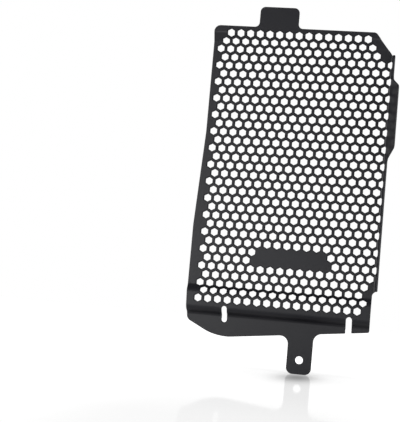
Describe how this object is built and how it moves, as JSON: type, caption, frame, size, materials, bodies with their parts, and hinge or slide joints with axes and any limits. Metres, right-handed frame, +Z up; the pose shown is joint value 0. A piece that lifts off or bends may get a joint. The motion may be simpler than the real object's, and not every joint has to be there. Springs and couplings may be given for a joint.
{
  "type": "motorcycle radiator guard",
  "caption": "Folded sheet guard for one side of a motorcycle radiator, punched with a honeycomb of hexagonal holes, with a plug-in tab, a bolt tab and a side wing.",
  "frame": {"origin": "centre of the bolt hole in the lower tab, at the tab's back face", "axes": "+Z up along the guard's longest side, +X to the outer side of the motorcycle where the flange is, -Y forwards to the side that the folds rise to"},
  "size_m": [0.1681, 0.0264, 0.3155],
  "materials": {
    "powder_coat": "satin"
  },
  "bodies": {
    "root": {"guard_panel": "powder_coat"}
  },
  "joints": []
}
